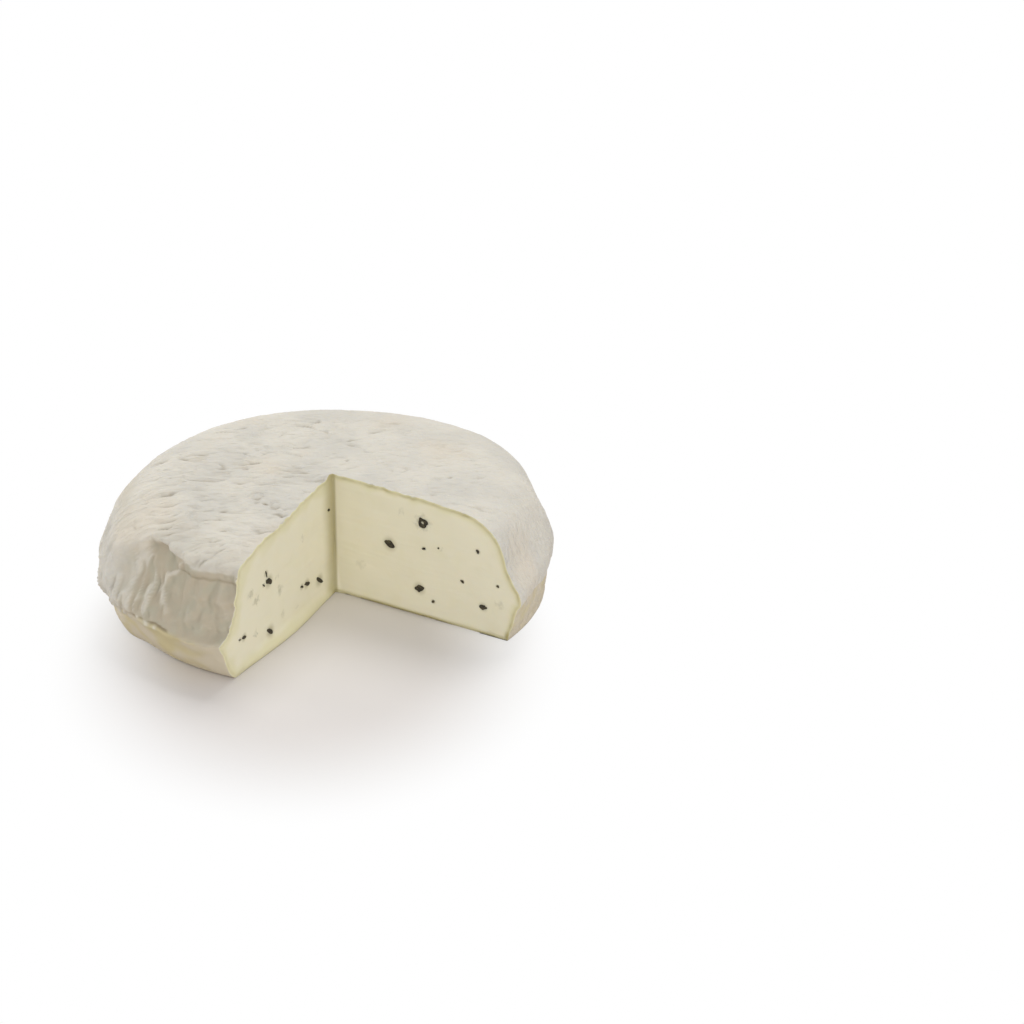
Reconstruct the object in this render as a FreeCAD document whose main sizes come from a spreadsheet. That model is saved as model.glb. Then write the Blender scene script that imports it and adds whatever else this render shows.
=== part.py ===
import FreeCAD, Part
import Sketcher
import math
import os

# A small soft-ripened cheese wheel with a piece cut out of it, in millimetres.
# The origin is the tip of the cut, on the underside, and +Z points up.
# Bearings run anticlockwise from +X, and the missing piece lies clockwise of +X.

SIZES = {
    # the whole wheel, whose middle is not quite at the tip of the cut
    "wheel_diameter": 122.0,
    "crown_height": 36.3,
    "middle_x": -1.0,
    "middle_y": -0.7,
    # how far the ripened wheel has slumped out of round
    "oval_rise": 2.0,
    "oval_bearing": 42.0,
    "trefoil_rise": 0.5,
    "trefoil_bearing": 49.5,
    "quatrefoil_rise": 0.4,
    "quatrefoil_bearing": 51.5,
    # the side: insets from the widest line, heights from the underside
    "foot_inset": 4.8,
    "tuck_inset": 2.8,
    "tuck_height": 3.4,
    "crease_inset": 1.5,
    "crease_height": 8.4,
    "skirt_inset": 0.3,
    "skirt_height": 11.4,
    "belly_height": 14.4,
    "side_inset": 1.7,
    "side_height": 20.0,
    "shoulder_inset": 4.2,
    "shoulder_height": 25.8,
    # the top: insets from the widest line, drops from the crown
    "brink_inset": 8.0,
    "brink_drop": 6.0,
    "brow_inset": 12.2,
    "brow_drop": 2.9,
    "field_inset": 21.0,
    "field_drop": 0.9,
    "ring_inset": 33.0,
    "ring_drop": 0.4,
    "crown_radius": 15.0,
    "crown_drop": 0.15,
    # the top has sunk towards one side of the cut
    "sag_bearing": 274.0,
    "sag_spread": 50.0,
    "sag_drop": 3.2,
    # there the rind has slipped too, and stands out as a lip over a hollow
    "lip_bearing": 259.5,
    "lip_spread": 23.5,
    "lip_undercut": 3.2,
    "lip_hollow": 5.2,
    "lip_scoop": 5.2,
    # and the foot is drawn in further
    "heel_bearing": 262.0,
    "heel_spread": 24.0,
    "heel_inset": 2.9,
    # the side is flatter by the other side of the cut
    "cheek_bearing": 0.0,
    "cheek_spread": 20.0,
    "cheek_pull": 1.8,
    # upright folds in the rind of the side
    "fold_depth": 0.5,
    "broad_folds": 11.0,
    "narrow_folds": 19.0,
    "fold_slant": 0.35,
    # the piece that was cut out, a little under a quarter
    "slice_angle": 86.0,
    "knife_clearance": 15.0,
}

# meridians of the rind, and rounds of correction that settle its poles
BEARING_STEPS = 96
POLE_ROUNDS = 40

# how suddenly a local feature of the rind ends at its spread
GENTLE, FIRM, SUDDEN = 2, 4, 8

doc = FreeCAD.newDocument("cheese")
sheet = doc.addObject("Spreadsheet::Sheet", "sizes")
for row, (alias, value) in enumerate(SIZES.items(), start=1):
    sheet.set("A%d" % row, alias)
    sheet.set("B%d" % row, str(value))
    sheet.setAlias("B%d" % row, alias)
doc.recompute()


def size(alias):
    return float(sheet.get(alias))


def lobe(name, count, bearing):
    """One even wave of the outline, with a crest at its own bearing."""
    crest = math.radians(size(name + "_bearing"))
    return size(name + "_rise") * math.cos(count * (bearing - crest))


def outline_radius(bearing):
    """The widest line round the wheel, from the middle of the wheel."""
    slump = lobe("oval", 2, bearing) + lobe("trefoil", 3, bearing) + lobe("quatrefoil", 4, bearing)
    return size("wheel_diameter") / 2 + slump


def nearness(name, bearing, steepness):
    """1 at the named feature's own bearing, falling to 0 past its spread."""
    away = math.degrees(bearing) - size(name + "_bearing")
    away = (away + 180) % 360 - 180
    return math.exp(-(away / size(name + "_spread")) ** steepness)


def fold(bearing, height):
    """How far the upright folds stand out, slanting a little as they climb."""
    turn = bearing + math.radians(size("fold_slant") * height)
    broad = math.sin(size("broad_folds") * turn)
    narrow = math.sin(size("narrow_folds") * turn)
    return size("fold_depth") * (broad + narrow) / 2


def meridian(bearing):
    """Points of the rind from the foot up to the crown, along one bearing."""
    radius = outline_radius(bearing)
    sag = nearness("sag", bearing, GENTLE) * size("sag_drop")
    lip = nearness("lip", bearing, SUDDEN)
    heel = nearness("heel", bearing, SUDDEN) * size("heel_inset")
    cheek = nearness("cheek", bearing, FIRM) * size("cheek_pull")

    def out(inset, height, folded=0.0):
        return (radius - inset + folded * fold(bearing, height), height)

    def top(name, sunk):
        return size("crown_height") - size(name + "_drop") - sunk * sag

    profile = [
        out(size("foot_inset") + heel, 0.0),
        out(size("tuck_inset") + heel / 2, size("tuck_height")),
        out(size("crease_inset") + heel / 4, size("crease_height"), 0.4),
        out(size("skirt_inset"), size("skirt_height"), 0.8),
        out(0.0, size("belly_height"), 0.6),
        out(size("side_inset") + lip * size("lip_scoop") + cheek, size("side_height"), 1.0),
        out(size("shoulder_inset") + lip * size("lip_hollow") + cheek / 2, size("shoulder_height"), 1.0),
        out(size("brink_inset") + lip * size("lip_undercut"), top("brink", 0.5), 0.6),
        out(size("brow_inset"), top("brow", 1.0), 0.2),
        out(size("field_inset"), top("field", 0.9)),
        out(size("ring_inset"), top("ring", 0.7)),
        (size("crown_radius"), top("crown", 0.35)),
        (0.0, size("crown_height")),
    ]
    middle = FreeCAD.Vector(size("middle_x"), size("middle_y"), 0)
    outward = FreeCAD.Vector(math.cos(bearing), math.sin(bearing), 0)
    up = FreeCAD.Vector(0, 0, 1)
    return [middle + outward * reach + up * height for reach, height in profile]


def arc_shares(points):
    """The share of the whole length at which each point of a meridian lies."""
    lengths = [0.0]
    for near, far in zip(points, points[1:]):
        lengths.append(lengths[-1] + near.distanceToPoint(far))
    return [length / lengths[-1] for length in lengths]


def ring_poles(points):
    """Poles of the even closed cubic spline that passes through a ring of points."""
    poles = list(points)
    for _ in range(POLE_ROUNDS):
        poles = [
            (point * 6 - poles[i - 1] - poles[(i + 1) % len(poles)]) / 4
            for i, point in enumerate(points)
        ]
    return poles


def rind_surface():
    """The rind, all but the flat underside, as one smooth surface closed round the wheel."""
    shares = arc_shares(meridian(0.0))
    columns = []
    for step in range(BEARING_STEPS):
        curve = Part.BSplineCurve()
        curve.interpolate(Points=meridian(2 * math.pi * step / BEARING_STEPS), Parameters=shares)
        columns.append(curve.getPoles())
    rings = [ring_poles(ring) for ring in zip(*columns)]
    poles = [list(column) for column in zip(*rings)]
    around = list(range(BEARING_STEPS + 1))
    surface = Part.BSplineSurface()
    surface.buildFromPolesMultsKnots(
        poles, [1] * len(around), curve.getMultiplicities(), around, curve.getKnots(),
        True, False, curve.Degree, curve.Degree,
    )
    return surface


def whole_wheel():
    """The rind closed by its flat underside."""
    rind = rind_surface().toShape()
    foot = min(rind.Edges, key=lambda edge: edge.BoundBox.ZMax)
    underside = Part.Face(Part.Wire([foot])).reversed()
    return Part.makeSolid(Part.makeShell([rind, underside]))


def slice_outline(body):
    """The sector that the knife takes out: two cuts from the tip, and an arc clear of the rind."""
    reach = size("wheel_diameter") / 2 + size("knife_clearance")
    turn = math.radians(size("slice_angle"))
    tip = FreeCAD.Vector(0, 0, 0)
    first_end = FreeCAD.Vector(reach, 0, 0)
    second_end = FreeCAD.Vector(reach * math.cos(turn), -reach * math.sin(turn), 0)

    sketch = body.newObject("Sketcher::SketchObject", "slice_outline")
    planes = {plane.Role: plane for plane in body.Origin.OriginFeatures}
    sketch.AttachmentSupport = (planes["XY_Plane"], [""])
    sketch.MapMode = "FlatFace"
    first_cut = sketch.addGeometry(Part.LineSegment(tip, first_end))
    second_cut = sketch.addGeometry(Part.LineSegment(tip, second_end))
    circle = Part.Circle(tip, FreeCAD.Vector(0, 0, 1), reach)
    outside = sketch.addGeometry(Part.ArcOfCircle(circle, -turn, 0))

    # a sketch numbers the points of a curve, and calls its own origin curve -1
    start, end, centre = 1, 2, 3
    origin = -1
    for curve, point in ((first_cut, start), (second_cut, start), (outside, centre)):
        sketch.addConstraint(Sketcher.Constraint("Coincident", curve, point, origin, start))
    sketch.addConstraint(Sketcher.Constraint("Coincident", outside, end, first_cut, end))
    sketch.addConstraint(Sketcher.Constraint("Coincident", outside, start, second_cut, end))
    sketch.addConstraint(Sketcher.Constraint("Horizontal", first_cut))
    driven = {
        "slice_angle": Sketcher.Constraint("Angle", second_cut, start, first_cut, start, turn),
        "knife_reach": Sketcher.Constraint("Radius", outside, reach),
    }
    for name, constraint in driven.items():
        sketch.renameConstraint(sketch.addConstraint(constraint), name)
    sketch.setExpression("Constraints.slice_angle", "sizes.slice_angle * 1 deg")
    sketch.setExpression(
        "Constraints.knife_reach", "(sizes.wheel_diameter / 2 + sizes.knife_clearance) * 1 mm"
    )
    return sketch


def cut_cheese(wheel):
    """The wheel with the missing piece pocketed right through it."""
    body = doc.addObject("PartDesign::Body", "cheese")
    body.Label = "cheese"
    body.BaseFeature = wheel
    sketch = slice_outline(body)
    doc.recompute()
    pocket = body.newObject("PartDesign::Pocket", "slice")
    pocket.Profile = sketch
    pocket.Type = "ThroughAll"
    pocket.Reversed = True
    body.Placement = FreeCAD.Placement()
    doc.recompute()
    return body


wheel = doc.addObject("Part::Feature", "wheel")
wheel.Label = "whole_wheel"
wheel.Shape = whole_wheel()
wheel.Placement = FreeCAD.Placement()
cheese = cut_cheese(wheel)

for thing in doc.Objects:
    if "Invalid" in thing.State or "Error" in thing.State:
        raise RuntimeError("%s did not build: %s" % (thing.Label, thing.State))
if cheese.Shape.isNull() or not cheese.Shape.isValid() or len(cheese.Shape.Solids) != 1:
    raise RuntimeError("the cheese is not one valid solid")
if cheese.Shape.Volume >= wheel.Shape.Volume:
    raise RuntimeError("the slice was not taken out")

os.makedirs("parts", exist_ok=True)
cheese.Shape.exportStep("parts/%s.step" % cheese.Label)
cubic_cm = cheese.Shape.Volume / 1000
print("cheese: %.1f cm3 of the whole wheel's %.1f cm3" % (cubic_cm, wheel.Shape.Volume / 1000))
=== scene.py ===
import math
import random

import bmesh
import bpy
from mathutils import Matrix, Vector, noise
from mathutils.bvhtree import BVHTree


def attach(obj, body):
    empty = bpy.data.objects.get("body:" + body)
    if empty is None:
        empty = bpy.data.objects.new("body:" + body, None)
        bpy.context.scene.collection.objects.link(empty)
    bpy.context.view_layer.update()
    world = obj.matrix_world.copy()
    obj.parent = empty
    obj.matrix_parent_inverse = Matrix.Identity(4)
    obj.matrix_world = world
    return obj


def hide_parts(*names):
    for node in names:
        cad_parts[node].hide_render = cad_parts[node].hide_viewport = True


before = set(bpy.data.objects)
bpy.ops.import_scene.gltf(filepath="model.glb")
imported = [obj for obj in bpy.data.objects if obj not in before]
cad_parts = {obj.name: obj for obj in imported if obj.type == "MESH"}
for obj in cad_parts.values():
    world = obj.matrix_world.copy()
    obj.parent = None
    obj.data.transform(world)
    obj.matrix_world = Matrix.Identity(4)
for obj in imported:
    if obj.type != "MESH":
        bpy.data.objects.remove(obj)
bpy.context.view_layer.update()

mm = 0.001
touching = 1e-6  # metres: a point nearer than this to a plane or to the axis is on it
seedStep = (31.7, -17.3, 9.1)  # each seed reads the noise this much further on

# The origin is the tip of the cut, on the underside. Bearings are degrees anticlockwise from +X.
# One cut face runs out along bearing 0, and the other along the bearing where the wheel ends.


def bell(x, middle, spread, steepness=2):
    return math.exp(-abs((x - middle) / spread) ** steepness)


def smooth(x, low, high):
    t = min(max((x - low) / (high - low), 0.0), 1.0)
    return t * t * (3 - 2 * t)


def blend(a, b, share):
    return a + (b - a) * share


def waves(x, y, z=0.0, seed=0):
    stepX, stepY, stepZ = seedStep
    return noise.noise(Vector((x + stepX * seed, y + stepY * seed, z + stepZ * seed)))


def patches(x, y, sizes, seed):
    # noise so high, in patches so long and so wide
    height, length, width = sizes
    return height * waves(x / length, y / width, seed=seed)


def bumps(x, sizes, row, seed):
    # noise so high and so long, along one row of it
    height, length = sizes
    return height * waves(x / length, row, seed=seed)


def bearingOf(point):
    # a touch clockwise of +X isn't taken for almost a whole turn
    bearing = math.degrees(math.atan2(point.y, point.x))
    return bearing if bearing > -1e-3 else bearing + 360


def along(points, x):
    # a value read off a short list of (place, value) stations
    if x <= points[0][0]:
        return points[0][1]
    for (x0, y0), (x1, y1) in zip(points, points[1:]):
        if x <= x1:
            return blend(y0, y1, smooth(x, x0, x1))
    return points[-1][1]


# ---- the skin of the wheel

wheel = {
    "sweep": 274.0,  # degrees of wheel that are left
    "steps": 576,  # meridians over the sweep, a multiple of 32
    "grain": 0.57,  # mm between points along a meridian
    "fineGrain": 0.32,  # and by the crease, between these heights
    "fineFrom": 11.6,
    "fineTo": 15.6,
    "rayStep": 0.03,  # degrees between the rays that look for those points
    "firstLean": 0.001,  # of the first ray, which keeps it off the inner corner
    "inset": 0.3,  # degrees by which rays keep clear of the cut planes
    "meridianEnd": 0.02,  # mm above the floor, where a meridian ends
    "footRays": (-5, -30),  # the edge of the foot lies between these, in degrees from level
    "footEnd": 0.01,  # mm above the floor, where the foot begins
    "halvings": 18,
    "flat": 0.001,  # mm above the floor, below which a point belongs to the underside
    "focus": 15.0,  # mm up the inner corner, where every ray starts
    "typical": 137.0,  # the bearing whose meridian is wrapped round the wheel
    "topZones": (1.5, 3.0, 6.0, 12.0, 24.0),  # radii in mm; each zone inwards has half the steps
    "underZones": (3.0, 8.0, 18.0, 32.0, 46.0),
    "underRings": (3.0, 5.0, 5.0, 7.0, 7.0, 3.0),  # mm between the rings of each zone of the underside
    # mm; nearer points are merged, of the solid's triangles, between the zones, and of the finished wheel
    "weldSolid": 0.001,
    "weldZones": 0.04,
    "weldWheel": 0.002,
}

solid = bmesh.new()
solid.from_mesh(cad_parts["cheese"].data)
bmesh.ops.remove_doubles(solid, verts=solid.verts, dist=wheel["weldSolid"] * mm)
solidTree = BVHTree.FromBMesh(solid)
solid.free()
focus = Vector((0, 0, wheel["focus"] * mm))


def turned(point, bearing):
    return Matrix.Rotation(math.radians(bearing), 3, "Z") @ point


def outTo(reach, rise, bearing):
    # where a ray from the focus leaves the cheese; in the cut planes it is read a touch inside them
    inside = min(max(bearing, wheel["inset"]), wheel["sweep"] - wheel["inset"])
    ray = turned(Vector((reach, 0, rise)).normalized(), inside)
    hit = solidTree.ray_cast(focus + ray * mm, ray)[0]
    return turned(hit, bearing - inside)


def readMeridian(bearing):
    # evenly spaced points of the rind from the middle of the top down to the foot, laid in the XZ plane
    points = [turned(outTo(wheel["firstLean"], 1, bearing), -bearing)]
    degrees = 90.0
    while True:
        degrees -= wheel["rayStep"]
        rise = math.radians(degrees)
        point = turned(outTo(math.cos(rise), math.sin(rise), bearing), -bearing)
        if point.z < wheel["meridianEnd"] * mm:
            break
        fine = wheel["fineFrom"] * mm < point.z < wheel["fineTo"] * mm
        grain = wheel["fineGrain"] if fine else wheel["grain"]
        if (point - points[-1]).length > grain * mm:
            points.append(point)
    points[0].x = 0
    points[-1] = Vector((point.x, 0, 0))
    return points


def footReach(bearing):
    # the ray is lowered by halves between one that meets the side and one that meets the underside
    high, low = (math.radians(degrees) for degrees in wheel["footRays"])
    for _ in range(wheel["halvings"]):
        rise = (high + low) / 2
        point = outTo(math.cos(rise), math.sin(rise), bearing)
        high, low = (rise, low) if point.z > wheel["footEnd"] * mm else (high, rise)
    return math.hypot(point.x, point.y)


def wrapGrid(bm, columns, rows, place):
    made = bmesh.ops.create_grid(bm, x_segments=columns, y_segments=rows, size=0.5)["verts"]
    for vert in made:
        vert.co = place(vert.co.x + 0.5, round((vert.co.y + 0.5) * rows))
    return made


def halveRim(bm, radius, topSide):
    # the rim of a coarse zone gets the points of the finer zone outside it
    def onRim(vert):
        away = abs(math.hypot(vert.co.x, vert.co.y) - radius)
        return away < touching / 10 and (vert.co.z > 0) == topSide

    rim = [e for e in bm.edges if e.is_boundary and onRim(e.verts[0]) and onRim(e.verts[1])]
    bmesh.ops.subdivide_edges(bm, edges=rim, cuts=1)


def wrapSkin(bm):
    # one meridian is laid round the wheel in zones, and then each point moves onto the solid's own skin
    chain = readMeridian(wheel["typical"])
    foot = chain[-1].x
    topLimits = wheel["topZones"] + (math.inf,)
    underLimits = wheel["underZones"] + (foot / mm,)
    last = len(topLimits) - 1
    start = 0
    inner = 0.0
    for zone, (limit, outer) in enumerate(zip(topLimits, underLimits)):
        steps = wheel["steps"] // 2 ** (last - zone)
        end = start
        while end < len(chain) - 1 and chain[end].x < limit * mm:
            end += 1
        part = chain[start:end + 1]
        wrapGrid(bm, steps, end - start, lambda u, row: turned(part[row], (1 - u) * wheel["sweep"]))
        rings = round((outer - inner) / wheel["underRings"][zone])
        radii = [blend(inner, outer, i / rings) * mm for i in range(rings + 1)]
        wrapGrid(bm, steps, rings, lambda u, row: turned(Vector((radii[row], 0, 0)), u * wheel["sweep"]))
        if zone < last:
            halveRim(bm, chain[end].x, True)
            halveRim(bm, outer * mm, False)
        start = end
        inner = outer
    bmesh.ops.remove_doubles(bm, verts=bm.verts, dist=wheel["weldZones"] * mm)
    bearings = [wheel["sweep"] * step / wheel["steps"] for step in range(wheel["steps"] + 1)]
    feet = [footReach(bearing) / foot for bearing in bearings]
    for vert in bm.verts:
        radius = math.hypot(vert.co.x, vert.co.y)
        bearing = min(max(bearingOf(vert.co), 0), wheel["sweep"]) if radius > touching else 0
        if vert.co.z > wheel["flat"] * mm:
            vert.co = outTo(radius, vert.co.z - focus.z, bearing)
        else:
            vert.co = vert.co * feet[round(bearing / wheel["sweep"] * wheel["steps"])]
            vert.co.z = 0


# ---- relief of the rind, in mm

ripples = {
    "bearing": 30.8,  # the ripples of the top run along this bearing
    # how far out they go: the mean, one wave and its bearing, two waves and their bearing
    "reach": (46.0, 6.0, 290.0, 3.5, 20.0),
    "fade": 9.0,
    # height, length and width of each noise; they wander along the bearing, and sway and jitter across it
    "broad": (0.42, 6.0, 2.2),
    "fine": (0.46, 4.6, 1.3),
    "wander": (4.0, 11.0, 11.0),
    "sway": (3.0, 9.0, 9.0),
    "jitter": (0.7, 3.0, 3.0),
    "groove": 0.4,  # depth of the short grooves, which run where the first of these is near 0
    "grooveLine": (1.0, 6.0, 1.9),
    "grooveWidth": 0.1,
    "grooveGate": (1.0, 5.0, 3.5),  # and start and end where the second is between these
    "gate": (-0.15, 0.25),
    "calmSide": 0.65,  # how strong they still are on the calmer right of the wheel
    "calmTo": (40, 130),  # they grow to their full strength between these bearings
    "outside": 0.2,  # and how strong they are out on the shoulder
    "grooveShadeAndBrown": 0.3,  # how brown the grooves are: thinner mould, partly painted shade
    "dipShadeAndBrown": 0.35,  # and the dips, partly painted shade too, when they are this deep
    "dip": 0.35,
    "mealy": 0.07,
    "mealySize": 0.9,
}

dimples = {
    "radius": 58.0,  # they lie within this radius
    "height": 25.0,  # and above this height
    "reach": 7.0,  # mm from its middle that a dimple may reach
    "stray": (0.5, 1.6, 1.6),  # unevenness of its outline
    # each one: radius, bearing, length, width, lean, depth, brownness
    "places": (
        (22.5, 250.4, 2.2, 1.4, -30, 0.5, 1.0), (23.9, 267.0, 4.6, 1.3, -20, 0.6, 0.7),
        (39.5, 191.0, 7.5, 1.4, 0, 0.6, 0.6), (44.2, 221.0, 7.5, 1.6, 20, 0.7, 0.6),
        (47.0, 231.7, 3.5, 1.3, 0, 0.45, 0.4), (37.8, 246.6, 8.0, 1.1, 0, 0.55, 0.6),
        (45.1, 258.4, 2.6, 1.8, 0, 0.45, 0.3), (25.5, 194.5, 7.5, 2.0, 0, 0.9, 0.25),
        (11.4, 214.4, 2.8, 1.3, -10, 0.5, 0.5), (55.3, 230.8, 1.2, 4.0, 20, 0.5, 0.5),
        (34.6, 174.7, 4.0, 1.2, 0, 0.35, 0.5), (35.1, 129.6, 1.6, 1.6, 0, 0.4, 0.6),
        (9.2, 99.7, 1.3, 1.5, 40, 0.5, 0.8), (16.5, 40.0, 1.3, 1.5, 40, 0.4, 0.5),
        (31.8, 28.1, 1.2, 1.4, 0, 0.4, 0.7), (29.0, 8.0, 3.6, 1.1, -10, 0.35, 0.3),
    ),
}

side = {
    "radius": 58.0,  # mm, to turn bearings into lengths round the wheel
    "top": 31.5,  # the side starts below here
    "fade": 6.0,
    "outer": (42.0, 48.0),  # and outside these radii
    "footFade": 2.5,  # all relief grows from nothing at the floor to its full height here
    "slant": 0.45,  # mm round the wheel for each mm down
    "drift": (1.6, 9.0, 9.0),  # how the folds wander
    "swell": 0.6,  # height of the folds
    "broadSwell": (1.0, 1.9, 9.0),
    "smallSwell": (0.5, 1.1, 4.0),
    "ridge": 0.5,  # made as the grooves of the top are
    "ridgeLine": (1.0, 4.0, 16.0),
    "ridgeWidth": 0.09,
    "ridgeGate": (1.0, 7.0, 8.0),
    "gate": (-0.2, 0.15),
    # how strong the folds are, by bearing
    "strength": ((0, 0.35), (50, 0.4), (110, 0.8), (200, 1.0), (236, 1.4), (242, 1.0), (274, 0.8)),
    "foldsFrom": (30, 20),  # they grow between these heights, but not below the lip
    "foldsEnd": 1.5,  # and from the crease up to this far above it
    "low": (0.25, 3.5, 2.5),  # unevenness below the crease
    "dipShadeAndBrown": 0.35,  # painted shade in the hollows between the folds, in brown, with thinner mould there too, when they are this deep
    "dip": 0.6,
    # how thin the mould is, by bearing; under the lip its darker beige is partly painted shade
    "thinnessAndShade": ((0, 0.1), (60, 0.12), (130, 0.2), (205, 0.15), (232, 0.22), (237, 0.6), (243, 1.0)),
    "crests": 0.55,  # how much thicker and paler it is along the crests of the folds, partly a painted highlight on them
    "crestRise": (0.05, 0.6),  # mm that a fold stands out where its crest starts and where it is full
    "crestLoss": 0.6,  # less of that past these bearings
    "crestLossAt": (250, 258),
    "cream": 0.5,  # how much darker and creamier the left shoulder is made: bearing and height with their spreads
    "creamAt": (208.0, 30.0),
    "creamHeight": (29.0, 4.0),
    "lean": 0.3,  # mm that the side is drawn in to make room for the folds
    # the side by the first face has sunk in: (height, mm) and how much of that by bearing
    "sunk": ((3, -1.2), (14, -2.4), (24, -2.4), (36, 0.0)),
    "sunkShare": ((0, 0.3), (8, 0.8), (16, 1.0), (40, 1.0), (75, 0.0)),
    "strokeReach": 3.0,  # widths from its line that a stroke reaches
    "wobble": (0.35, 1.8, 2.5),
}

# single ridges and grooves of the side: (bearing, height) along each, width, and how far it stands out
strokes = (
    (((237.6, 28.5), (238.4, 26.2), (238.6, 23.1), (239.8, 18.9), (242.0, 16.0), (243.0, 12.5)), 1.0, 0.8),
    (((239.8, 27.5), (240.6, 23.7), (241.8, 19.9), (245.0, 16.5)), 0.75, 0.6),
    (((245.0, 19.0), (247.8, 17.1), (249.5, 15.2)), 0.8, 0.5),
    (((256.5, 29.0), (254.0, 27.8), (252.3, 25.0), (249.3, 23.2), (249.5, 19.8), (252.5, 17.6),
      (255.5, 16.2)), 0.7, 0.8),
    (((235.2, 18.8), (236.6, 15.6), (236.4, 12.4)), 0.8, 0.6),
    (((231.0, 25.0), (233.0, 20.0), (234.0, 14.0)), 0.9, 0.6),
    (((226.0, 24.0), (228.5, 18.0), (229.5, 13.5)), 0.9, 0.5),
    (((266.6, 25.6), (265.6, 21.4), (264.0, 16.6)), 0.9, -0.35),
    (((268.4, 18.2), (268.8, 14.6)), 0.7, -0.35),
    (((259.8, 25.9), (260.4, 22.0)), 1.0, -0.3),
    (((255.3, 23.5), (256.8, 20.5)), 0.9, -0.3),
    (((259.9, 19.3), (259.2, 18.3)), 1.0, -0.3),
    (((271.4, 23.2), (271.7, 20.4)), 0.8, -0.3),
    (((263.5, 24.0), (262.8, 19.0), (261.5, 16.0)), 0.9, 0.35),
    (((269.0, 26.0), (268.6, 20.0)), 1.0, 0.35),
)

lip = {
    "line": ((234, 28.6), (237.0, 29.6), (239.5, 31.0), (243.7, 31.3), (250.5, 30.2), (255.4, 30.0),
             (259.7, 29.0), (264.8, 29.6), (269.3, 29.9), (274, 29.8)),
    "rimBumps": (0.25, 2.0),  # mm high, degrees long
    "outer": (40.0, 45.0),  # the lip is outside these radii
    "starts": (235.5, 238.5),
    "roll": 0.6,  # height of the rolled rim
    "rollMean": 0.9,  # its mean share of that, and how the share varies
    "rollBumps": (0.5, 3.1),
    "rollBelow": 0.3,  # mm below the line
    "width": 1.15,
    # mm down to the flap's edge, by bearing
    "under": ((238, 1.6), (248, 1.6), (253, 3.6), (260, 2.9), (267, 2.6), (274, 3.0)),
    "underBumps": (0.4, 2.2),
    "tuck": 1.1,  # how far the side is drawn in beneath the flap
    "tuckEdge": (0.4, 0.5),  # from so far above the edge to so far below
    "tuckEnd": (1.5, 6.0),  # and it comes out again from this far below to this far
    "shade": 0.55,  # painted shade right beneath the flap's edge, in brown
    "shadeBelow": 0.5,
    "shadeHeight": 0.6,
    "shadeFrom": (249, 255),
    "sideBelow": (0.9, 2.0),  # mm below the line, where the side takes over
    "tint": 0.35,  # how thin the mould is on the lip itself
}

# below the lip the rind hangs straight down, and the bare paste steps out under it
curtain = {
    # mm outwards, by mm above the crease
    "steps": ((-0.5, 0.0), (0.0, -2.2), (0.5, -4.2), (1.4, -5.6), (3.3, -5.0), (4.9, -3.4), (6.3, -2.0),
              (9.0, 0.3), (12.0, 0.0)),
    "share": ((236, 0.0), (241, 0.15), (250, 0.25), (257, 0.4), (264, 0.75), (270, 1.0)),
    "from": 215.0,  # there is neither curtain nor brow before this bearing
    "brow": 0.8,  # the shoulder stands out just before the lip starts
    "browLine": ((14, 232.0), (19, 234.0), (24, 235.5), (29, 236.5)),
    "browBefore": 3.5,  # degrees before that line
    "browSpread": 4.5,
    "browFrom": (11, 16),  # it grows between these heights, and fades between the next
    "browTo": (26, 31),
}

crease = {
    "heights": ((200, 10.6), (232, 10.8), (237, 11.0), (243, 11.8), (249, 12.8), (254, 13.0), (258, 12.7),
                (270, 12.7), (274, 13.5)),
    "broad": (0.7, 18.0),  # mm that it rises and falls, mm long
    "scallop": 0.9,
    "bigScallops": (1.0, 3.4),
    "smallScallops": (0.6, 1.4),
    "calm": 0.6,  # how much straighter it is beneath the lip
    "calmFrom": (253, 258),
    "flap": 0.3,  # the rind above stands this far out
    "flapEdge": 0.3,  # within this height
    "flapFade": (1.5, 6.0),
    "groove": 0.9,  # and the gap below it is this deep
    "grooveBelow": 0.6,
    "grooveHeight": 0.7,
    "gapLeast": 0.2,  # the gap comes and goes along the crease
    "gapMore": 0.6,
    "gapBumps": (1.0, 2.2),
    "gate": (-0.1, 0.3),
    "gapAt": (253.0, 6.5, 4),  # it is widest below the lip: bearing, spread, how suddenly that ends
    "gapLoss": 0.85,  # and nearly closed past these bearings
    "gapLossAt": (257, 260),
    "bandEdge": (1.3, 0.4),  # the bare band starts between so far below and so far above the crease
    "golden": 0.35,  # how golden it is, between pinkish at 0 and golden at 1
    "goldenMore": 0.5,  # and how much more at this bearing, with this spread
    "goldenAt": (256.0, 8.0),
    "goldenUneven": (0.7, 5.0, 3.0),
    "goldenLoss": 0.35,  # and how much less past these
    "goldenLossAt": (264, 271),
    "goldenUnder": 0.4,  # and on the underside
    # pale crumbs along it: bearing, mm below it, size
    "crumbs": ((226.0, 0.4, 0.9), (229.0, 0.8, 0.7), (233.0, 0.3, 0.7), (236.8, 0.6, 1.0),
               (241.0, 0.5, 1.2), (243.6, 0.9, 0.8), (247.2, 0.5, 0.9), (250.4, 1.1, 1.3),
               (253.4, 1.5, 0.9)),
    "crumbReach": 3.0,  # mm round the wheel from its middle that a crumb may reach
    "crumbSquash": 0.7,  # its height as a share of its length
    "crumbSpread": 0.75,  # its shape and how far it stands out, as shares of its size
    "crumbRise": 0.6,
    "crumbRough": 0.4,  # mm that its outline strays
    "crumbGrain": 1.3,
    "crumbPale": 0.7,  # how much of the bare band and the thin mould it covers
}


def rippleReach(bearing):
    mean, one, oneAt, two, twoAt = ripples["reach"]
    turn = math.radians(bearing)
    reach = mean + one * math.cos(turn - math.radians(oneAt))
    return reach + two * math.cos(2 * (turn - math.radians(twoAt)))


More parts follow.
